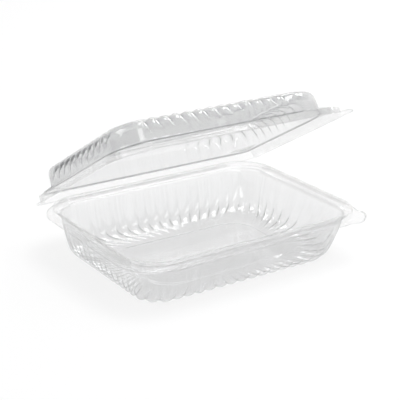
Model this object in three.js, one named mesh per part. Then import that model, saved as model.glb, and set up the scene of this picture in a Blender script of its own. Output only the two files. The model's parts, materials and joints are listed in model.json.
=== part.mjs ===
// Clear hinged takeaway container: a fluted tray and a fluted lid, folded open along the back long edge.
// Millimetres, +Z up. The origin is on the table under the middle of the tray; X runs along the fold.
import * as THREE from 'three';

// Plan of both shells, measured at the outer edge of the flange
const LENGTH = 236;
const WIDTH = 183.6;
const CORNER_RADIUS = 37;
const FLOOR_RADIUS = 22;
const LID_BACK_RADIUS = 14;
const SHEET = 0.4;

// Heights of the rim
const FLANGE_HEIGHT = 37.4;
const RIDGE_HEIGHT = 6;
const RIM_GAP = 0.3;

// Fold along the back edge, and how far the lid stands open
const OPEN_ANGLE = 30;
const HINGE_Y = WIDTH / 2 + RIM_GAP / 2;
const HINGE_Z = FLANGE_HEIGHT + RIM_GAP / 2;

// An outline has four quarters, counter-clockwise: the front, right, back and left side, each with the
// corner after it. The side takes the first part of its quarter's span.
const QUARTERS = 4;
const TAB_QUARTER = 0;
const FRONT_LEFT_QUARTER = 3;
const SIDE_SPAN = 0.7;

// Flutes: rounded fingers that wrap the lower edge of the tray and the upper edge of the lid. They are
// counted on the side and on the corner of each quarter.
const TRAY_FLUTES = { onSides: [13, 8, 14, 12], onCorners: [4, 3, 3, 3] };
const LID_FLUTES = { onSides: [12, 7, 13, 9], onCorners: [0, 0, 0, 0] };
const FACETS_PER_FLUTE = 4;
const FLUTE_FULLNESS = 0.7;

// Lift tab at the front right corner of each flange, with its place and width in degrees of that corner
const TAB_REACH = 6.5;
const TAB_MIDDLE = 42;
const TAB_HALF_WIDTH = 25;
const TAB_SQUARENESS = 4;

// Facets of a plain corner, and of the corner that has the tab
const CORNER_FACETS = 7;
const TAB_CORNER_FACETS = 16;

// Section of the tray's upper face, from the flange edge to the floor: distance in from the edge and
// height above the table. A row of the flange also has the reach of its tab, and a fluted row the depth
// of the grooves between its flutes. The wall turns wider at the corner with the tab, by the radius in
// `wider`, which leaves a broad ledge there.
const TRAY_SECTION = [
  { inset: 0, height: FLANGE_HEIGHT, tab: TAB_REACH },
  { inset: 4.6, height: FLANGE_HEIGHT, tab: 0 },
  { inset: 5.3, height: FLANGE_HEIGHT + RIDGE_HEIGHT },
  { inset: 8.3, height: FLANGE_HEIGHT + RIDGE_HEIGHT },
  { inset: 9.2, height: FLANGE_HEIGHT + 1.2 },
  { inset: 11.8, height: FLANGE_HEIGHT + 0.4, wider: 3 },
  { inset: 12.5, height: FLANGE_HEIGHT - 2, wider: 3 },
  { inset: 13.2, height: 30.5, wider: 4, groove: 0 },
  { inset: 15, height: 20, wider: 8, groove: 0.4 },
  { inset: 17, height: 9.5, wider: 12, groove: 0.9 },
  { inset: 18.5, height: 4.4, wider: 14, groove: 1.7 },
  { inset: 21, height: 1.3, wider: 14, groove: 2.2 },
  { inset: 26, height: SHEET, wider: 12, groove: 1.5 },
  { inset: 40, height: SHEET, wider: 6, groove: 0 },
  { inset: 46.5, height: SHEET, wider: 4 },
  { inset: 47.7, height: 1.4, wider: 4 },
];

// Section of the lid's under face, from the flange edge to the top panel, heights above its own flange.
// Its step clears the tray's ridge, and its rim is squarer at the two back corners than at the front.
const LID_SECTION = [
  { inset: 0, height: 0, tab: TAB_REACH, backRadius: LID_BACK_RADIUS },
  { inset: 4, height: 0, tab: 0, backRadius: LID_BACK_RADIUS - 4 },
  { inset: 4.6, height: RIDGE_HEIGHT + 0.9, backRadius: LID_BACK_RADIUS - 4.6 },
  { inset: 8.6, height: RIDGE_HEIGHT + 1.1, backRadius: LID_BACK_RADIUS - 7, wider: 30 },
  { inset: 9, height: 9.5, wider: 30, groove: 0 },
  { inset: 9.3, height: 14, wider: 30, groove: 0.8 },
  { inset: 9.7, height: 19.2, wider: 30, groove: 2 },
  { inset: 10.8, height: 24.2, wider: 30, groove: 3.4 },
  { inset: 15, height: 26.7, wider: 30, groove: 3 },
  { inset: 23, height: 27.3, wider: 26, groove: 0 },
  { inset: 33, height: 27.3, wider: 22 },
  { inset: 34.5, height: 28.1, wider: 22 },
];

// Stations round one outline from the front left. A station holds its share of the side or corner that
// it is on, its order round the outline, and how full the flute is there, from 0 in a groove to 1 on a
// crest or a plain corner.
function outlineStations(flutes, fluted, tabCorner) {
  const stations = [];
  const fullnessOf = (wave) => Math.abs(Math.sin(Math.PI * wave)) ** FLUTE_FULLNESS;
  for (let quarter = 0; quarter < QUARTERS; quarter += 1) {
    const onSide = flutes.onSides[quarter];
    const steps = fluted ? onSide * FACETS_PER_FLUTE : 1;
    for (let step = 0; step <= steps; step += 1) {
      const share = step / steps;
      const fullness = fullnessOf(share * onSide);
      stations.push({ quarter, share, fullness, onSide: true, order: quarter + SIDE_SPAN * share });
    }
    const onCorner = fluted ? flutes.onCorners[quarter] : 0;
    const plainFacets = tabCorner && quarter === TAB_QUARTER ? TAB_CORNER_FACETS : CORNER_FACETS;
    const facets = onCorner ? onCorner * FACETS_PER_FLUTE : plainFacets;
    for (let facet = 1; facet < facets; facet += 1) {
      const share = facet / facets;
      const fullness = onCorner ? fullnessOf(share * onCorner) : 1;
      const order = quarter + SIDE_SPAN + (1 - SIDE_SPAN) * share;
      stations.push({ quarter, share, fullness, onSide: false, order });
    }
  }
  return stations;
}

// Radius of the corner that ends a quarter, on the outline of one row of a section
function cornerRadius({ inset, wider = 0, backRadius }, quarter) {
  const plain = Math.max(CORNER_RADIUS - inset, FLOOR_RADIUS);
  if (quarter === TAB_QUARTER) return plain + wider;
  return quarter === FRONT_LEFT_QUARTER ? plain : backRadius ?? plain;
}

// Place in plan of a station on the outline of one row, and the way out of the outline there
function planPoint(row, station) {
  const { quarter, share, onSide } = station;
  const alongX = quarter % 2 === 0;
  const halfAlong = (alongX ? LENGTH : WIDTH) / 2 - row.inset;
  const halfAcross = (alongX ? WIDTH : LENGTH) / 2 - row.inset;
  const radius = cornerRadius(row, quarter);
  const start = cornerRadius(row, (quarter + QUARTERS - 1) % QUARTERS) - halfAlong;
  const end = halfAlong - radius;
  const turn = onSide ? 0 : (Math.PI / 2) * share;
  const middle = new THREE.Vector2(onSide ? start + (end - start) * share : end, radius - halfAcross);
  const outward = new THREE.Vector2(Math.sin(turn), -Math.cos(turn));
  const place = middle.addScaledVector(outward, radius);
  const centre = new THREE.Vector2();
  const quarterTurn = (Math.PI / 2) * quarter;
  return {
    place: place.rotateAround(centre, quarterTurn),
    outward: outward.rotateAround(centre, quarterTurn),
  };
}

// Share of the lift tab's reach at a station: 1 along its middle, 0 off the tab
function tabShare(station) {
  if (station.onSide || station.quarter !== TAB_QUARTER) return 0;
  const across = (90 * station.share - TAB_MIDDLE) / TAB_HALF_WIDTH;
  return Math.max(0, 1 - Math.abs(across) ** TAB_SQUARENESS);
}

// Outward normal of a section at a row, lengthened at bends so that the sheet keeps its thickness.
// The section is a list of (inset, height), and outside is down on the tray and up on the lid.
function sectionNormal(section, row, outside) {
  const points = section.map(({ inset, height }) => new THREE.Vector2(inset, height));
  const here = points[row];
  const normalOf = (from, to) => {
    const run = to.clone().sub(from).normalize();
    return new THREE.Vector2(outside * -run.y, outside * run.x);
  };
  const before = row > 0 ? normalOf(points[row - 1], here) : null;
  const after = row < points.length - 1 ? normalOf(here, points[row + 1]) : null;
  if (!before || !after) return before ?? after;
  const middle = before.clone().add(after).normalize();
  return middle.divideScalar(middle.dot(after));
}

// One ring of points for a row of the section, on the face that lies `depth` outside the section
function sectionRing(section, index, flutes, outside, depth) {
  const row = section[index];
  const { height, groove = 0, tab = 0 } = row;
  const normal = sectionNormal(section, index, outside);
  const stations = outlineStations(flutes, 'groove' in row, 'tab' in row);
  const points = stations.map((station) => {
    const reach = tab * tabShare(station);
    const push = depth - groove * (1 - station.fullness);
    const { place, outward } = planPoint(row, station);
    place.addScaledVector(outward, reach - push * normal.x);
    return new THREE.Vector3(place.x, place.y, height + push * normal.y);
  });
  return { points, orders: stations.map((station) => station.order) };
}

// Triangles between two rings, walking both round together, so that they may differ in their stations
function stitchRings(triangles, outer, inner, flip) {
  const add = (a, b, c) => triangles.push(...(flip ? [a, c, b] : [a, b, c]));
  const pointOf = ({ points }, index) => points[index % points.length];
  const middleOfStep = ({ orders }, index) => {
    if (index === orders.length) return Infinity;
    return orders[index] + (orders[index + 1] ?? QUARTERS);
  };
  let i = 0;
  let j = 0;
  while (i < outer.points.length || j < inner.points.length) {
    const a = pointOf(outer, i);
    const b = pointOf(inner, j);
    if (middleOfStep(outer, i) <= middleOfStep(inner, j)) {
      i += 1;
      add(a, pointOf(outer, i), b);
    } else {
      j += 1;
      add(a, pointOf(inner, j), b);
    }
  }
}

// Triangles from the last ring to its own middle
function closeRing(triangles, ring, flip) {
  const middle = new THREE.Vector3(0, 0, ring.points[0].z);
  ring.points.forEach((point, index) => {
    const next = ring.points[(index + 1) % ring.points.length];
    triangles.push(...(flip ? [point, middle, next] : [point, next, middle]));
  });
}

// Closed thin shell of a section: the face that is given, the face one sheet outside it, and the edge
function thinShell(section, flutes, outside) {
  const triangles = [];
  const ringAt = (index, depth) => sectionRing(section, index, flutes, outside, depth);
  const faceRings = (depth) => section.map((row, index) => ringAt(index, depth));
  const near = faceRings(0);
  const far = faceRings(SHEET);
  const nearFlips = outside > 0;
  for (let row = 1; row < section.length; row += 1) {
    stitchRings(triangles, near[row - 1], near[row], nearFlips);
    stitchRings(triangles, far[row - 1], far[row], !nearFlips);
  }
  closeRing(triangles, near.at(-1), nearFlips);
  closeRing(triangles, far.at(-1), !nearFlips);
  stitchRings(triangles, far[0], near[0], nearFlips);
  return new THREE.BufferGeometry().setFromPoints(triangles);
}

function clearSheet() {
  return new THREE.MeshStandardMaterial({
    color: 0xf1f3f4,
    roughness: 0.08,
    metalness: 0,
    transparent: true,
    opacity: 0.25,
  });
}

function makeTray() {
  const tray = new THREE.Mesh(thinShell(TRAY_SECTION, TRAY_FLUTES, -1), clearSheet());
  tray.name = 'tray';
  return tray;
}

// The lid is drawn shut, with its flange one gap above the tray's, and then turned open about the fold
function makeLid() {
  const shell = thinShell(LID_SECTION, LID_FLUTES, 1);
  shell.translate(0, -HINGE_Y, RIM_GAP / 2);
  const lid = new THREE.Mesh(shell, clearSheet());
  lid.name = 'lid';
  const fold = new THREE.Group();
  fold.position.set(0, HINGE_Y, HINGE_Z);
  fold.rotation.x = THREE.MathUtils.degToRad(-OPEN_ANGLE);
  fold.add(lid);
  return fold;
}

const container = new THREE.Group();
container.add(makeTray(), makeLid());

export default container;
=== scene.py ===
"""Clear hinged takeaway container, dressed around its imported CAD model. Metres, +Z up."""
import json
import math
from collections import namedtuple

import bmesh
import bpy
from bpy.props import FloatProperty, FloatVectorProperty, IntProperty, PointerProperty
from mathutils import Matrix, Vector
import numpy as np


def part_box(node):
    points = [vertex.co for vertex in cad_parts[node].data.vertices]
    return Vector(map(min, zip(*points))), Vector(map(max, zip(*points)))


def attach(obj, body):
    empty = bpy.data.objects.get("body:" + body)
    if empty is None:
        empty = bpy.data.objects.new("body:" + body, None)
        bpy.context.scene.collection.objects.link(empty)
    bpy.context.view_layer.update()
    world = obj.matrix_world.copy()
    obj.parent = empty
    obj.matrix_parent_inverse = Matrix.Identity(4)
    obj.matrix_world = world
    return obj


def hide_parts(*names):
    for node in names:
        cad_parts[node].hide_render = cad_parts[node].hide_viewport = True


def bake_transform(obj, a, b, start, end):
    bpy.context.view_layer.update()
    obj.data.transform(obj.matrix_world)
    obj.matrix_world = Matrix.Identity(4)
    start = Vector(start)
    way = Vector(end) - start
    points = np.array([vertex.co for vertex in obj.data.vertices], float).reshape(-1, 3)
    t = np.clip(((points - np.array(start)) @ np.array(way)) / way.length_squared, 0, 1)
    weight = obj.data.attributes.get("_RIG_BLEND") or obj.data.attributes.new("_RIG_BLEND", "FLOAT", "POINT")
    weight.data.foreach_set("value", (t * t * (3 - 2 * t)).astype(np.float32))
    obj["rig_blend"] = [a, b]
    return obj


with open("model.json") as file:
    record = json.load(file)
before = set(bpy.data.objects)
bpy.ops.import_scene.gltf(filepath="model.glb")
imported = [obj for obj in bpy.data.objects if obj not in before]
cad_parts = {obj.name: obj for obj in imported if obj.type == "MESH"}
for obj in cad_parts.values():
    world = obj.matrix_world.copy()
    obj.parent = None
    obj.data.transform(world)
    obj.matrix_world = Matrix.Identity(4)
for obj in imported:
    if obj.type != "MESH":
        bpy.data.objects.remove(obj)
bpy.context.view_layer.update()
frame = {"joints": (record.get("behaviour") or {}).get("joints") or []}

bl_info = {
    "name": "Clear Hinged Container",
    "version": (1, 0, 0),
    "blender": (4, 5, 0),
    "location": "3D View > Sidebar > Container",
    "description": "Fluted clear tray and lid, joined by a fold along the back edge",
    "category": "Object",
}

TRAY_LOW, TRAY_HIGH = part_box("tray")
FOLD = frame["joints"][0]
FOLD_PLACE = Vector(FOLD["pos_m"])
OPEN_ANGLE = math.radians(-FOLD["range_deg"][0])
PLASTIC = "formed_plastic"
SHEET_UV = "sheet_uv"
MM = 0.001
RIGHT_ANGLE = math.pi / 2

# Plan of both rims, from the frame: the back edge of the tray is straight, and half a width from the middle
LENGTH = TRAY_HIGH.x - TRAY_LOW.x
WIDTH = 2 * TRAY_HIGH.y
RIM_GAP = 2 * (FOLD_PLACE.y - TRAY_HIGH.y)
FLANGE_HEIGHT = FOLD_PLACE.z - RIM_GAP / 2
RIDGE_HEIGHT = TRAY_HIGH.z - FLANGE_HEIGHT

# An outline has four quarters, counter-clockwise: the front, right, back and left side, each with the
# corner after it. Flutes are counted on the sides and the corners in that order. Each side has a share of
# the grooves' depth and a share of painted shade, which darkens its fluted rows least on the crests, at its
# start and at its end.
QUARTERS = 4
Flutes = namedtuple("Flutes", "on_sides on_corners depths greys")
TRAY_FLUTES = Flutes(
    (13, 8, 14, 12), (4, 3, 3, 3),
    depths=((0.8, 0.8), (1.3, 1.3), (1.0, 1.0), (1.0, 1.0)),
    greys=((0.0, 0.0),) * QUARTERS)
LID_FLUTES = Flutes(
    (12, 7, 13, 9), (0, 3, 0, 0),
    depths=((1.0, 0.8), (0.2, 1.1), (1.0, 0.1), (1.4, 1.4)),
    greys=((0.0, 0.08), (0.25, 0.0), (0.0, 0.0), (0.4, 0.4)))

# Share of a side over which its values go from its start's to its end's, and share of a plain corner over
# which it rises out of the groove at each of its ends
SIDE_LEAD = 0.3
CORNER_LEAD = 1 / 7

# Corner that has the lift tab: its quarter, its facets next to a plain corner's, and how square the tab is
TAB_QUARTER = 0
TAB_CORNER_FINENESS = 2
TAB_SQUARENESS = 4

# Points of a section that are closer than this are one point, and bends flatter than this are shaded smooth
SAME_POINT = 0.02 * MM
SMOOTH_ANGLE = math.radians(45)

# Faces of the fold's strip, along the fold and across it
FOLD_FACETS = (16, 12)

# Slow waves in each metre of the sheet, draw lines in each metre round it and down it, and the heights of a
# draw line that show least and most in the tint
WAVE_SCALE = 45.0
STREAK_SCALE = (420.0, 9.0, 1.0)
STREAK_PALEST, STREAK_DARKEST = 0.35, 1.35

# The width of the photograph, which the focal length is given in, and of the camera's sensor in millimetres
FRAME_PIXELS = 400
SENSOR_WIDTH = 36.0

# The floor, just under the tray
FLOOR_SIZE = 12.0
FLOOR_DROP = 0.2 * MM
FLOOR_ROUGHNESS = 0.9

# The backdrop: how far it dips below the level, and how nearly a ray has to face it for the first of its
# light and for all of it
BACKDROP_DIP = 0.9
BACKDROP_START, BACKDROP_FULL = 0.1, 0.7

# The broad light above, which the gloss doesn't show, and the soft boxes, which the gloss shows and the
# floor doesn't, each with its share of their brightness
KEY_PLACE = (1.9, -0.35, 5.8)
KEY_SIZE = (3.4, 3.4)
SoftBox = namedtuple("SoftBox", "name place size share")
SOFT_BOXES = (
    SoftBox("right_box", (1.2, 0.24, 0.86), (0.42, 0.42), 0.8),
    SoftBox("corner_box", (-0.25, -1.07, 1.2), (0.42, 0.5), 0.4),
    SoftBox("front_box", (-0.02, -0.76, 0.18), (0.56, 0.13), 0.42),
    SoftBox("back_box", (0.62, 0.88, 0.79), (0.7, 0.2), 0.55),
    SoftBox("left_box", (-1.1, 0.1, 0.95), (0.6, 0.6), 0.35),
)

# Bounces that light needs to pass through every wall of the tray and the lid
CLEAR_BOUNCES = 40
GLOSSY_BOUNCES = 12
TRANSPARENT_BOUNCES = 64

# Sockets of a Mix node that mixes colours
COLOUR_A, COLOUR_B, COLOUR_OUT = 6, 7, 2

# Attributes of a shell's points: painted shade, 1 on a dark line painted along a bend or in a groove;
# painted light, 1 where the face shows as plain see-through without the glass's shading and gloss; and 1 on
# the tray, which shades the table more than the lid does
PAINTED_SHADE, PAINTED_LIGHT, SHADE = "crease", "thin", "shade"

# A row of a section, in millimetres: distance in from the flange's edge, height, reach of the bend there,
# what the radius gains at the corner with the tab, and depth of the grooves. Then shares: of painted light,
# where the face shows as plain see-through, of painted shade, a dark line painted along the row, and how
# much of the tab's reach it has. A row of the lid's rim has its own radius at the back corners.
Row = namedtuple(
    "Row", "inset height bend wider groove thin line tab back",
    defaults=(0.0, 0.0, 0.0, 0.0, 0.0, 0.0, None))

# A bend that reaches half way to the rows on both sides
SMOOTH = 99.0

# Places in a point of the section: a row in metres, blended as a whole round the bends
INSET, HEIGHT, GROOVE, TAB, RADII, PAINTED_LIGHT_SHARE, PAINTED_SHADE_LINE = 0, 1, 2, 3, slice(4, 8), 8, 9
PROFILE = slice(0, 2)

# A place round an outline: its quarter, its share of the side or the corner there, and how full the flute is
Station = namedtuple("Station", "quarter share fullness on_side")


class ContainerSheet(bpy.types.PropertyGroup):
    """Sizes of the formed sheet."""

    thickness: FloatProperty(
        name="Sheet", description="Thickness of the sheet", default=0.4 * MM, min=0.1 * MM, unit="LENGTH")
    corner_radius: FloatProperty(
        name="Corner", description="Radius of a corner at the flange's edge", default=37 * MM, unit="LENGTH")
    floor_radius: FloatProperty(
        name="Floor corner", description="Smallest corner radius of the inner outlines",
        default=22 * MM, unit="LENGTH")
    lid_back_radius: FloatProperty(
        name="Lid back corner", description="Corner radius of the lid's rim beside the fold",
        default=14 * MM, unit="LENGTH")
    tab_reach: FloatProperty(
        name="Tab reach", description="How far the lift tab stands out of the flange",
        default=6.5 * MM, unit="LENGTH")
    tab_middle: FloatProperty(
        name="Tab place", description="Middle of the tab round its corner",
        default=math.radians(42), subtype="ANGLE")
    tab_half_width: FloatProperty(
        name="Tab half width", description="Half of the tab's width round its corner",
        default=math.radians(25), subtype="ANGLE")
    flute_fullness: FloatProperty(
        name="Flute fullness", description="Below 1 the flutes are broad and the grooves narrow",
        default=0.7, min=0.3, max=1.5)
    groove_softness: FloatProperty(
        name="Groove softness", description="Rounding of the groove between two flutes",
        default=0.2, min=0.01, max=0.5)
    fold_length: FloatProperty(
        name="Fold length", description="Length of the strip that joins the flanges", default=160 * MM,
        unit="LENGTH")
    fold_thickness: FloatProperty(
        name="Fold sheet", description="Thickness of the strip that joins the flanges", default=0.2 * MM,
        unit="LENGTH")
    flute_facets: IntProperty(
        name="Flute facets", description="Faces across one flute", default=12, min=4, max=24)
    corner_facets: IntProperty(
        name="Corner facets", description="Faces round one corner", default=30, min=8, max=48)
    bend_facets: IntProperty(
        name="Bend facets", description="Faces across one bend of the section", default=3, min=1, max=8)


class ContainerFinish(bpy.types.PropertyGroup):
    """Look of the clear sheet."""

    tint: FloatVectorProperty(
        name="Tint", description="Colour that one face of the plain sheet gives",
        subtype="COLOR", default=(0.958, 0.959, 0.96), min=0, max=1)
    # Colour the tint goes to, on the sheet's own draw lines and as painted shade on dark lines at bends and
    # in grooves
    streak_and_painted_shade_tint: FloatVectorProperty(
        name="Line tint", description="Colour that one face gives at a tight crease",
        subtype="COLOR", default=(0.74, 0.742, 0.745), min=0, max=1)
    # Painted shade: how dark the grooves between the tray's flutes are painted
    tray_groove_shade: FloatProperty(
        name="Tray grooves", description="How strongly the grooves between the tray's flutes show",
        subtype="FACTOR", default=0.08, min=0, max=1)
    # Painted shade: how dark the grooves between the lid's flutes are painted
    lid_groove_shade: FloatProperty(
        name="Lid grooves", description="How strongly the grooves between the lid's flutes show",
        subtype="FACTOR", default=0.4, min=0, max=1)
    streak_tint: FloatProperty(
        name="Streaks", description="How strongly the draw lines show in the tint", subtype="FACTOR",
        default=0.3, min=0, max=1)
    tray_shadow: FloatVectorProperty(
        name="Tray shadow", description="What one face of the tray lets through to the table",
        subtype="COLOR", default=(0.952, 0.952, 0.952), min=0, max=1)
    lid_shadow: FloatVectorProperty(
        name="Lid shadow", description="What one face of the lid lets through to the table",
        subtype="COLOR", default=(0.982, 0.982, 0.982), min=0, max=1)
    ior: FloatProperty(
        name="IOR", description="Index of refraction of the sheet", default=1.58, min=1, max=2)
    roughness: FloatProperty(
        name="Roughness", description="Roughness of the gloss", subtype="FACTOR", default=0.02, min=0, max=1)
    wave_depth: FloatProperty(
        name="Waves", description="Depth of the sheet's slow waves", default=0.05 * MM, unit="LENGTH")
    streak_depth: FloatProperty(
        name="Draw lines", description="Depth of the lines drawn down the walls",
        default=0.01 * MM, unit="LENGTH")


class ContainerStudio(bpy.types.PropertyGroup):
    """Floor, light and camera."""

    floor_colour: FloatVectorProperty(
        name="Floor", description="Colour of the floor", subtype="COLOR",
        default=(0.93, 0.93, 0.93), min=0, max=1)
    sky_strength: FloatProperty(
        name="Sky", description="Strength of the even light from all round", default=0.3, min=0)
    backdrop_strength: FloatProperty(
        name="Backdrop", description="Strength of the pale backdrop low behind the container",
        default=0.95, min=0)
    key_power: FloatProperty(
        name="Key light", description="Power of the broad light above", default=327, unit="POWER")
    box_brightness: FloatProperty(
        name="Soft boxes", description="Brightness of the soft boxes that the gloss shows",
        default=6, min=0)
    camera_turn: FloatProperty(
        name="Camera turn", description="Camera's place round the container, from the front",
        default=math.radians(-33.39), subtype="ANGLE")
    camera_rise: FloatProperty(
        name="Camera rise", description="Camera's angle above the table",
        default=math.radians(20.59), subtype="ANGLE")
    camera_distance: FloatProperty(
        name="Camera distance", description="From the camera to its target", default=1.0011, unit="LENGTH")
    camera_target: FloatVectorProperty(
        name="Camera target", description="Point in the middle of the picture",
        subtype="TRANSLATION", default=(-2.6 * MM, 0, 49.5 * MM))
    camera_focus: FloatProperty(
        name="Focal length", description="In pixels of the photograph's frame", default=1164.35, min=100)


def tray_rows(sheet):
    """Section of the tray's upper face in millimetres, from the flange edge to the floor."""
    flange = FLANGE_HEIGHT / MM
    ridge = TRAY_HIGH.z / MM
    skin = sheet.thickness / MM
    # Rows carry painted light, where the face shows as plain see-through, and painted shade, a dark line
    # along the row
    return [
        Row(0, flange, thin=0.35, line=0.45, tab=1),
        Row(0.8, flange, thin=0.85, tab=0.8),
        Row(4.6, flange, 0.5, thin=0.85),
        Row(5.2, ridge - 1.2, thin=0.8),
        Row(5.3, ridge, 1, thin=0.6, line=0.2),
        Row(8.3, ridge, 1.2, thin=0.8),
        Row(9.2, flange + 1.2, 0.6, thin=0.8),
        Row(11.8, flange + 0.4, 0.8, wider=3, thin=0.5),
        Row(12.5, flange - 2, 1.2, wider=3),
        Row(13.2, 30.5, SMOOTH, wider=4, groove=0.2, line=0.08),
        Row(15, 20, SMOOTH, wider=8, groove=0.35, line=0.1),
        Row(17, 9.5, SMOOTH, wider=12, groove=0.9, line=0.08),
        Row(18.5, 4.4, SMOOTH, wider=14, groove=1.7),
        Row(21, 1.3, SMOOTH, wider=14, groove=2.2),
        Row(26, skin, SMOOTH, wider=12, groove=1.5),
        Row(34, skin, SMOOTH, wider=9, groove=0.5),
        Row(42, skin, SMOOTH, wider=5),
        Row(46.5, skin, 0.5, wider=4),
        Row(48.5, 0.9, 0.5, wider=4),
        Row(56, 0.9),
    ]


def lid_rows(sheet):
    """Section of the lid's under face in millimetres, heights above its own flange."""
    ridge = RIDGE_HEIGHT / MM
    back = sheet.lid_back_radius / MM
    # Rows carry painted light, where the face shows as plain see-through, and painted shade, a dark line
    # along the row
    return [
        Row(0, 0, thin=0.4, line=0.6, tab=1, back=back),
        Row(0.8, 0, thin=0.6, tab=0.8, back=back - 0.8),
        Row(4, 0, 0.5, thin=0.65, back=back - 4),
        Row(4.6, ridge + 0.9, 0.9, thin=0.65, back=back - 4.6),
        Row(8.2, ridge + 1.1, wider=29, back=back - 7),
        Row(8.6, ridge + 1.1, 0.2, line=1, wider=30, back=back - 7),
        Row(8.7, ridge + 2.1, line=1, wider=30, back=back - 7),
        Row(8.8, ridge + 2.7, wider=30, back=back - 7),
        Row(9, 9.5, 0.5, wider=30, groove=0.1),
        Row(9.3, 14, SMOOTH, wider=30, groove=0.6),
        Row(9.7, 19.2, SMOOTH, wider=30, groove=2),
        Row(10.8, 24.2, SMOOTH, wider=30, groove=3.4),
        Row(15, 26.7, SMOOTH, wider=30, groove=3),
        Row(23, 27.3, SMOOTH, wider=26),
        Row(33, 27.3, 0.6, wider=22),
        Row(34.5, 28.1, 0.6, wider=22),
        Row(40, 28.1, wider=20),
    ]


def section_points(rows, sheet):
    """Points of the section: the rows in metres, with their bends rounded."""
    points = []
    for row in rows:
        plain = max(sheet.corner_radius - row.inset * MM, sheet.floor_radius)
        back = plain if row.back is None else row.back * MM
        radii = (plain + row.wider * MM, back, back, plain)
        place = (row.inset * MM, row.height * MM, row.groove * MM, row.tab)
        points.append(Vector((*place, *radii, row.thin, row.line)))
    rounded = [points[0]]
    for index in range(1, len(points) - 1):
        before, here, after = points[index - 1:index + 2]
        reach = rows[index].bend * MM
        starts = []
        for other in (before, after):
            leg = (Vector(other[PROFILE]) - Vector(here[PROFILE])).length
            starts.append(here.lerp(other, min(0.5, reach / leg)))
        for facet in range(sheet.bend_facets + 1):
            share = facet / sheet.bend_facets
            point = starts[0].lerp(here, share).lerp(here.lerp(starts[1], share), share)
            if (Vector(point[PROFILE]) - Vector(rounded[-1][PROFILE])).length > SAME_POINT:
                rounded.append(point)
    rounded.append(points[-1])
    return rounded


def outline_stations(flutes, sheet):
    """Stations round an outline from the front left, each with how full the flute is there."""
    soft = sheet.groove_softness

    def fullness(wave):
        rise = math.hypot(math.sin(wave), soft) - soft
        return (rise / (math.hypot(1, soft) - soft)) ** sheet.flute_fullness

    stations = []
    for quarter, (on_side, on_corner) in enumerate(zip(flutes.on_sides, flutes.on_corners)):
        steps = on_side * sheet.flute_facets
        for step in range(steps + 1):
            share = step / steps
            stations.append(Station(quarter, share, fullness(math.pi * share * on_side), True))
        facets = sheet.corner_facets * (TAB_CORNER_FINENESS if quarter == TAB_QUARTER else 1)
        for facet in range(1, facets):
            share = facet / facets
            lead = min(share, 1 - share, CORNER_LEAD) / CORNER_LEAD / 2
            wave = share * on_corner if on_corner else lead
            stations.append(Station(quarter, share, fullness(math.pi * wave), False))
    return stations


def plan_point(point, station):
    """Place in plan of a station on the outline of one section point, and the way out there."""
    along, across = (LENGTH, WIDTH) if station.quarter % 2 == 0 else (WIDTH, LENGTH)
    half_along = along / 2 - point[INSET]
    half_across = across / 2 - point[INSET]
    radii = point[RADII]
    radius = radii[station.quarter]
    start = radii[station.quarter - 1] - half_along
    end = half_along - radius
    turn = 0 if station.on_side else RIGHT_ANGLE * station.share
    outward = Vector((math.sin(turn), -math.cos(turn)))
    run = start + (end - start) * station.share if station.on_side else end
    place = Vector((run, radius - half_across)) + radius * outward
    to_quarter = Matrix.Rotation(RIGHT_ANGLE * station.quarter, 2)
    return to_quarter @ place, to_quarter @ outward


def tab_share(station, sheet):
    """1 along the middle of the lift tab, 0 off it."""
    if station.on_side or station.quarter != TAB_QUARTER:
        return 0
    across = (RIGHT_ANGLE * station.share - sheet.tab_middle) / sheet.tab_half_width
    return max(0, 1 - across ** TAB_SQUARENESS)


def side_value(sides, station):
    """Value at a station from each side's start and end, eased at the start of a side and round a corner."""
    start, end = sides[station.quarter]
    if station.on_side:
        return start + (end - start) * min(1, station.share / SIDE_LEAD)
    next_start = sides[(station.quarter + 1) % QUARTERS][0]
    return end + (next_start - end) * station.share


def section_rings(rows, outside, flutes, sheet):
    """Rings of points for a section, and for each point its painted shade, groove depth and painted light.

    The outside of the sheet is down (-1) on the tray and up (1) on the lid.
    """
    points = section_points(rows, sheet)
    stations = outline_stations(flutes, sheet)
    deepest = max(row.groove for row in rows) * MM
    rings, marks = [], []
    for index, point in enumerate(points):
        before = Vector(points[max(index - 1, 0)][PROFILE])
        after = Vector(points[min(index + 1, len(points) - 1)][PROFILE])
        run = (after - before).normalized()
        normal = outside * Vector((-run.y, run.x))
        ring, mark = [], []
        for station in stations:
            push = -point[GROOVE] * (1 - station.fullness) * side_value(flutes.depths, station)
            reach = sheet.tab_reach * point[TAB] * tab_share(station, sheet)
            place, outward = plan_point(point, station)
            place += outward * (reach - push * normal.x)
            ring.append(Vector((place.x, place.y, point[HEIGHT] + push * normal.y)))
            # Painted shade on a side's fluted rows, least on the flutes' crests
            crest = station.fullness * point[GROOVE] / deepest
            painted_side_shade = side_value(flutes.greys, station) * (1 - crest) if point[GROOVE] else 0
            mark.append((point[PAINTED_SHADE_LINE] + painted_side_shade, -push / deepest, point[PAINTED_LIGHT_SHARE]))
        rings.append(ring)
        marks.append(mark)
    return rings, marks


def start_piece():
    """Nothing stays selected before a new primitive is added."""
    if bpy.context.object and bpy.context.object.mode != "OBJECT":
        bpy.ops.object.mode_set(mode="OBJECT")
    bpy.ops.object.select_all(action="DESELECT")


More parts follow.
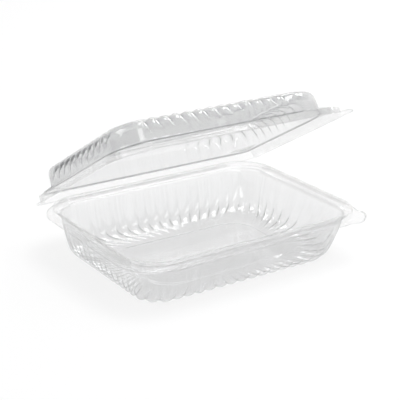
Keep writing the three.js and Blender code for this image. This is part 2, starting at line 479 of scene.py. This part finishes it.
def loft_shell(name, rings, near_side):
    """One face of the sheet: a circle extruded ring by ring, closed at the last ring.

    near_side is the Z direction that the closing face looks to.
    """
    start_piece()
    bpy.ops.mesh.primitive_circle_add(vertices=len(rings[0]), radius=LENGTH / 2, fill_type="NOTHING")
    shell = bpy.context.object
    shell.name = shell.data.name = name
    bpy.ops.object.mode_set(mode="EDIT")
    mesh = bmesh.from_edit_mesh(shell.data)
    station_of = mesh.verts.layers.int.new("station")
    for index, vert in enumerate(mesh.verts):
        vert[station_of] = index
        vert.co = rings[0][index]
    for ring in rings[1:]:
        bpy.ops.mesh.extrude_edges_indiv()
        mesh = bmesh.from_edit_mesh(shell.data)
        station_of = mesh.verts.layers.int["station"]
        for vert in mesh.verts:
            if vert.select:
                vert.co = ring[vert[station_of]]
        bmesh.update_edit_mesh(shell.data)
    bpy.ops.mesh.edge_face_add()
    bpy.ops.mesh.select_all(action="SELECT")
    bpy.ops.mesh.normals_make_consistent(inside=False)
    mesh = bmesh.from_edit_mesh(shell.data)
    closing = max(mesh.faces, key=lambda face: len(face.verts))
    closing.normal_update()
    if closing.normal.z * near_side < 0:
        bpy.ops.mesh.flip_normals()
    bpy.ops.object.mode_set(mode="OBJECT")
    return shell


def mark_points(shell, marks, grooves, shade):
    """Attributes of a lofted face, whose points run ring by ring: painted shade, painted light and 1 on the
    tray.
    """
    attributes = shell.data.attributes
    for name in (PAINTED_SHADE, PAINTED_LIGHT, SHADE):
        attributes.new(name, "FLOAT", "POINT")
    count = len(marks[0])
    for index, station in enumerate(attributes["station"].data):
        line, hollow, thin = marks[index // count][station.value]
        # Painted shade: the darker of the row's painted dark line and the painted groove shade, by the
        # groove's depth
        attributes[PAINTED_SHADE].data[index].value = max(line, grooves * hollow)
        # Painted light: the row's share of plain see-through, without the glass's shading and gloss
        attributes[PAINTED_LIGHT].data[index].value = thin
        attributes[SHADE].data[index].value = shade


def lay_out_uv(shell, rings):
    """UV map of a lofted face: U runs round the outline and V down the section, both in metres."""
    uv = shell.data.uv_layers.new(name=SHEET_UV)
    count = len(rings[0])
    station_of = shell.data.attributes["station"].data
    depth_of = [0.0]
    for ring, inner in zip(rings, rings[1:]):
        depth_of.append(depth_of[-1] + (inner[0] - ring[0]).length)
    around = [0.0]
    for index in range(count):
        around.append(around[-1] + (rings[0][(index + 1) % count] - rings[0][index]).length)
    for face in shell.data.polygons:
        stations = [station_of[index].value for index in face.vertices]
        wraps = len(stations) == 4 and max(stations) - min(stations) > 1
        for loop in face.loop_indices:
            vertex = shell.data.loops[loop].vertex_index
            station = station_of[vertex].value
            if wraps and station == 0:
                station = count
            uv.data[loop].uv = (around[station], depth_of[vertex // count])


def thicken(shell, thickness, offset=-1):
    """Solidify away from the modelled face, then smooth the shading over the bends."""
    solidify = shell.modifiers.new("sheet", "SOLIDIFY")
    solidify.thickness = thickness
    solidify.offset = offset
    solidify.use_even_offset = True
    bpy.ops.object.modifier_apply(modifier=solidify.name)
    bpy.ops.object.shade_smooth_by_angle(angle=SMOOTH_ANGLE)


def add_node(tree, kind, **values):
    """A shader node with the given input values; a key names a socket with _ for a space."""
    node = tree.nodes.new(kind)
    for key, value in values.items():
        node.inputs[key.replace("_", " ")].default_value = value
    return node


def math_node(tree, operation, first, second):
    """Output socket of an operation on two sockets, kept between 0 and 1."""
    node = tree.nodes.new("ShaderNodeMath")
    node.operation = operation
    node.use_clamp = True
    tree.links.new(first, node.inputs[0])
    tree.links.new(second, node.inputs[1])
    return node.outputs["Value"]


def point_attribute(tree, name):
    """Output socket of one of the shells' point attributes."""
    node = tree.nodes.new("ShaderNodeAttribute")
    node.attribute_name = name
    return node.outputs["Fac"]


def mix_colours(tree, first, second, share):
    """Output socket of a mix from the first colour to the second."""
    node = tree.nodes.new("ShaderNodeMix")
    node.data_type = "RGBA"
    node.inputs[COLOUR_A].default_value = (*first, 1)
    node.inputs[COLOUR_B].default_value = (*second, 1)
    tree.links.new(share, node.inputs[0])
    return node.outputs[COLOUR_OUT]


def mix_shaders(tree, first, second, share):
    """Output socket of a mix from the first shader to the second."""
    node = tree.nodes.new("ShaderNodeMixShader")
    for socket, source in zip(node.inputs, (share, first, second)):
        tree.links.new(source, socket)
    return node.outputs["Shader"]


def sheet_relief(tree, finish):
    """Output sockets of the normal of the waved and drawn sheet, and of the height of its draw lines."""
    link = tree.links.new
    place = tree.nodes.new("ShaderNodeTexCoord")
    waves = add_node(tree, "ShaderNodeTexNoise", Scale=WAVE_SCALE, Detail=1.5, Roughness=0.4)
    link(place.outputs["Object"], waves.inputs["Vector"])
    round_and_down = tree.nodes.new("ShaderNodeUVMap")
    round_and_down.uv_map = SHEET_UV
    stretch = add_node(tree, "ShaderNodeMapping", Scale=STREAK_SCALE)
    link(round_and_down.outputs["UV"], stretch.inputs["Vector"])
    streaks = add_node(tree, "ShaderNodeTexNoise", Scale=1.0, Detail=3.0, Roughness=0.55)
    link(stretch.outputs["Vector"], streaks.inputs["Vector"])
    waved = add_node(tree, "ShaderNodeBump", Strength=1.0, Distance=finish.wave_depth)
    link(waves.outputs["Fac"], waved.inputs["Height"])
    drawn = add_node(tree, "ShaderNodeBump", Strength=1.0, Distance=finish.streak_depth)
    link(streaks.outputs["Fac"], drawn.inputs["Height"])
    link(waved.outputs["Normal"], drawn.inputs["Normal"])
    return drawn.outputs["Normal"], streaks.outputs["Fac"]


def clear_sheet(finish):
    """Clear plastic with slow waves, draw lines and painted shade on its dark lines and grooves, turned
    plain see-through as painted light in places, which lets the light through to the table.
    """
    material = bpy.data.materials.get(PLASTIC)
    if material:
        return material
    material = bpy.data.materials.new(PLASTIC)
    material.use_nodes = True
    tree = material.node_tree
    tree.nodes.clear()
    link = tree.links.new
    normal, streaks = sheet_relief(tree, finish)
    lined = add_node(
        tree, "ShaderNodeMapRange",
        From_Min=STREAK_PALEST, From_Max=STREAK_DARKEST, To_Max=finish.streak_tint)
    link(streaks, lined.inputs["Value"])
    # Painted shade on dark lines and grooves, added to the sheet's own draw lines, darkens the tint
    streaks_and_painted_shade = math_node(tree, "ADD", point_attribute(tree, PAINTED_SHADE), lined.outputs["Result"])
    glass = add_node(tree, "ShaderNodeBsdfGlass", IOR=finish.ior, Roughness=finish.roughness)
    link(mix_colours(tree, finish.tint, finish.streak_and_painted_shade_tint, streaks_and_painted_shade), glass.inputs["Color"])
    link(normal, glass.inputs["Normal"])
    # Painted light: where the face is plain see-through it shows none of the glass's shading or gloss
    painted_light_film = add_node(tree, "ShaderNodeBsdfTransparent", Color=(1.0, 1.0, 1.0, 1.0))
    seen = mix_shaders(tree, glass.outputs["BSDF"], painted_light_film.outputs["BSDF"], point_attribute(tree, PAINTED_LIGHT))
    shadow = tree.nodes.new("ShaderNodeBsdfTransparent")
    tint = mix_colours(tree, finish.lid_shadow, finish.tray_shadow, point_attribute(tree, SHADE))
    link(tint, shadow.inputs["Color"])
    rays = tree.nodes.new("ShaderNodeLightPath")
    to_table = math_node(tree, "MAXIMUM", rays.outputs["Is Shadow Ray"], rays.outputs["Is Diffuse Ray"])
    output = tree.nodes.new("ShaderNodeOutputMaterial")
    link(mix_shaders(tree, seen, shadow.outputs["BSDF"], to_table), output.inputs["Surface"])
    return material


class OBJECT_OT_container_tray(bpy.types.Operator):
    """Form the fluted tray with its ridge, ledge and lift tab"""

    bl_idname = "object.container_tray"
    bl_label = "Form Tray"

    def execute(self, context):
        sheet = context.scene.container_sheet
        finish = context.scene.container_finish
        rings, marks = section_rings(tray_rows(sheet), -1, TRAY_FLUTES, sheet)
        tray = loft_shell("tray_shell", rings, 1)
        mark_points(tray, marks, finish.tray_groove_shade, 1.0)
        lay_out_uv(tray, rings)
        thicken(tray, sheet.thickness)
        tray.data.materials.append(clear_sheet(finish))
        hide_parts("tray")
        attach(tray, "tray")
        return {"FINISHED"}


class OBJECT_OT_container_lid(bpy.types.Operator):
    """Form the fluted lid shut, and turn it open about the fold"""

    bl_idname = "object.container_lid"
    bl_label = "Form Lid"

    def execute(self, context):
        sheet = context.scene.container_sheet
        finish = context.scene.container_finish
        rings, marks = section_rings(lid_rows(sheet), 1, LID_FLUTES, sheet)
        lid = loft_shell("lid_shell", rings, -1)
        mark_points(lid, marks, finish.lid_groove_shade, 0.0)
        lay_out_uv(lid, rings)
        thicken(lid, sheet.thickness)
        shut = Matrix.Translation((0, -FOLD_PLACE.y, RIM_GAP / 2))
        opened = Matrix.Rotation(-OPEN_ANGLE, 4, "X")
        lid.data.transform(Matrix.Translation(FOLD_PLACE) @ opened @ shut)
        lid.data.materials.append(clear_sheet(finish))
        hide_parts("lid")
        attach(lid, "lid")
        return {"FINISHED"}


class OBJECT_OT_container_fold(bpy.types.Operator):
    """Bridge the two flanges with the flexing strip of the fold"""

    bl_idname = "object.container_fold"
    bl_label = "Form Fold"

    def execute(self, context):
        sheet = context.scene.container_sheet
        finish = context.scene.container_finish
        half_gap = RIM_GAP / 2
        tray_edge = Vector((-half_gap, -half_gap - sheet.thickness / 2))
        first = math.atan2(tray_edge.y, tray_edge.x)
        last = -first - OPEN_ANGLE

        def place(along, share):
            turn = first + (last - first) * share
            out = tray_edge.length * Vector((math.cos(turn), math.sin(turn)))
            return FOLD_PLACE + Vector((along * sheet.fold_length, *out))

        start_piece()
        along, across = FOLD_FACETS
        bpy.ops.mesh.primitive_grid_add(x_subdivisions=along, y_subdivisions=across, size=1)
        strip = context.object
        strip.name = strip.data.name = "fold_strip"
        for vert in strip.data.vertices:
            vert.co = place(vert.co.x, vert.co.y + 0.5)
        thicken(strip, sheet.fold_thickness, 0)
        strip.data.materials.append(clear_sheet(finish))
        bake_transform(strip, "tray", "lid", start=place(0, 0), end=place(0, 1))
        return {"FINISHED"}


class SCENE_OT_container_stage(bpy.types.Operator):
    """Set up the pale floor, the soft light and the camera"""

    bl_idname = "scene.container_stage"
    bl_label = "Set Stage"

    def execute(self, context):
        studio = context.scene.container_studio
        self.lay_floor(studio)
        self.light_backdrop(context, studio)
        self.hang_lights(studio)
        self.set_camera(context, studio)
        context.scene.view_settings.view_transform = "Standard"
        context.scene.cycles.max_bounces = CLEAR_BOUNCES
        context.scene.cycles.transmission_bounces = CLEAR_BOUNCES
        context.scene.cycles.glossy_bounces = GLOSSY_BOUNCES
        context.scene.cycles.transparent_max_bounces = TRANSPARENT_BOUNCES
        return {"FINISHED"}

    def lay_floor(self, studio):
        start_piece()
        bpy.ops.mesh.primitive_plane_add(size=FLOOR_SIZE, location=(0, 0, -FLOOR_DROP))
        floor = bpy.context.object
        floor.name = "floor"
        material = bpy.data.materials.new("pale_floor")
        material.use_nodes = True
        shader = material.node_tree.nodes["Principled BSDF"]
        shader.inputs["Base Color"].default_value = (*studio.floor_colour, 1)
        shader.inputs["Roughness"].default_value = FLOOR_ROUGHNESS
        shader.inputs["Specular IOR Level"].default_value = 0.0
        floor.data.materials.append(material)

    def light_backdrop(self, context, studio):
        world = bpy.data.worlds.new("studio")
        world.use_nodes = True
        tree = world.node_tree
        sky = tree.nodes["Background"]
        sky.inputs["Color"].default_value = (1, 1, 1, 1)
        facing = tree.nodes.new("ShaderNodeTexCoord")
        beyond = tree.nodes.new("ShaderNodeVectorMath")
        beyond.operation = "DOT_PRODUCT"
        turn = studio.camera_turn
        beyond.inputs[1].default_value = (-math.sin(turn), math.cos(turn), -BACKDROP_DIP)
        tree.links.new(facing.outputs["Generated"], beyond.inputs[0])
        brightness = add_node(
            tree, "ShaderNodeMapRange", From_Min=BACKDROP_START, From_Max=BACKDROP_FULL,
            To_Min=studio.sky_strength, To_Max=studio.backdrop_strength)
        tree.links.new(beyond.outputs["Value"], brightness.inputs["Value"])
        tree.links.new(brightness.outputs["Result"], sky.inputs["Strength"])
        context.scene.world = world

    def hang_lights(self, studio):
        key = self.hang_light("key", KEY_PLACE, KEY_SIZE, studio.key_power)
        key.visible_glossy = False
        for box in SOFT_BOXES:
            power = box.share * studio.box_brightness * math.pi * box.size[0] * box.size[1]
            light = self.hang_light(box.name, box.place, box.size, power)
            light.visible_diffuse = False

    def hang_light(self, name, place, size, power):
        bpy.ops.object.light_add(type="AREA", location=place)
        light = bpy.context.object
        light.name = name
        light.data.shape = "RECTANGLE"
        light.data.size, light.data.size_y = size
        light.data.energy = power
        light.rotation_euler = (-Vector(place)).to_track_quat("-Z", "Y").to_euler()
        return light

    def set_camera(self, context, studio):
        target = Vector(studio.camera_target)
        rise, turn = studio.camera_rise, studio.camera_turn
        back = Vector((
            math.sin(turn) * math.cos(rise), -math.cos(turn) * math.cos(rise), math.sin(rise)))
        bpy.ops.object.camera_add(location=target + studio.camera_distance * back)
        camera = bpy.context.object
        camera.rotation_euler = back.to_track_quat("Z", "Y").to_euler()
        camera.data.sensor_width = SENSOR_WIDTH
        camera.data.lens = studio.camera_focus / FRAME_PIXELS * SENSOR_WIDTH
        camera.data.dof.use_dof = False
        context.scene.camera = camera


class VIEW3D_PT_container(bpy.types.Panel):
    """Sizes, finish and steps of the container"""

    bl_label = "Clear Hinged Container"
    bl_space_type = "VIEW_3D"
    bl_region_type = "UI"
    bl_category = "Container"

    def draw(self, context):
        layout = self.layout
        for group in ("container_sheet", "container_finish", "container_studio"):
            box = layout.box()
            settings = getattr(context.scene, group)
            for name in settings.__annotations__:
                box.prop(settings, name)
        for operator in STEPS:
            layout.operator(operator.bl_idname)


GROUPS = {
    "container_sheet": ContainerSheet,
    "container_finish": ContainerFinish,
    "container_studio": ContainerStudio,
}
STEPS = (
    OBJECT_OT_container_tray,
    OBJECT_OT_container_lid,
    OBJECT_OT_container_fold,
    SCENE_OT_container_stage,
)
CLASSES = (*GROUPS.values(), *STEPS, VIEW3D_PT_container)


def register():
    for cls in CLASSES:
        bpy.utils.register_class(cls)
    for name, group in GROUPS.items():
        setattr(bpy.types.Scene, name, PointerProperty(type=group))


def unregister():
    for name in GROUPS:
        delattr(bpy.types.Scene, name)
    for cls in reversed(CLASSES):
        bpy.utils.unregister_class(cls)


def main():
    register()
    bpy.ops.object.container_tray()
    bpy.ops.object.container_lid()
    bpy.ops.object.container_fold()
    bpy.ops.scene.container_stage()


if __name__ == "__main__":
    main()
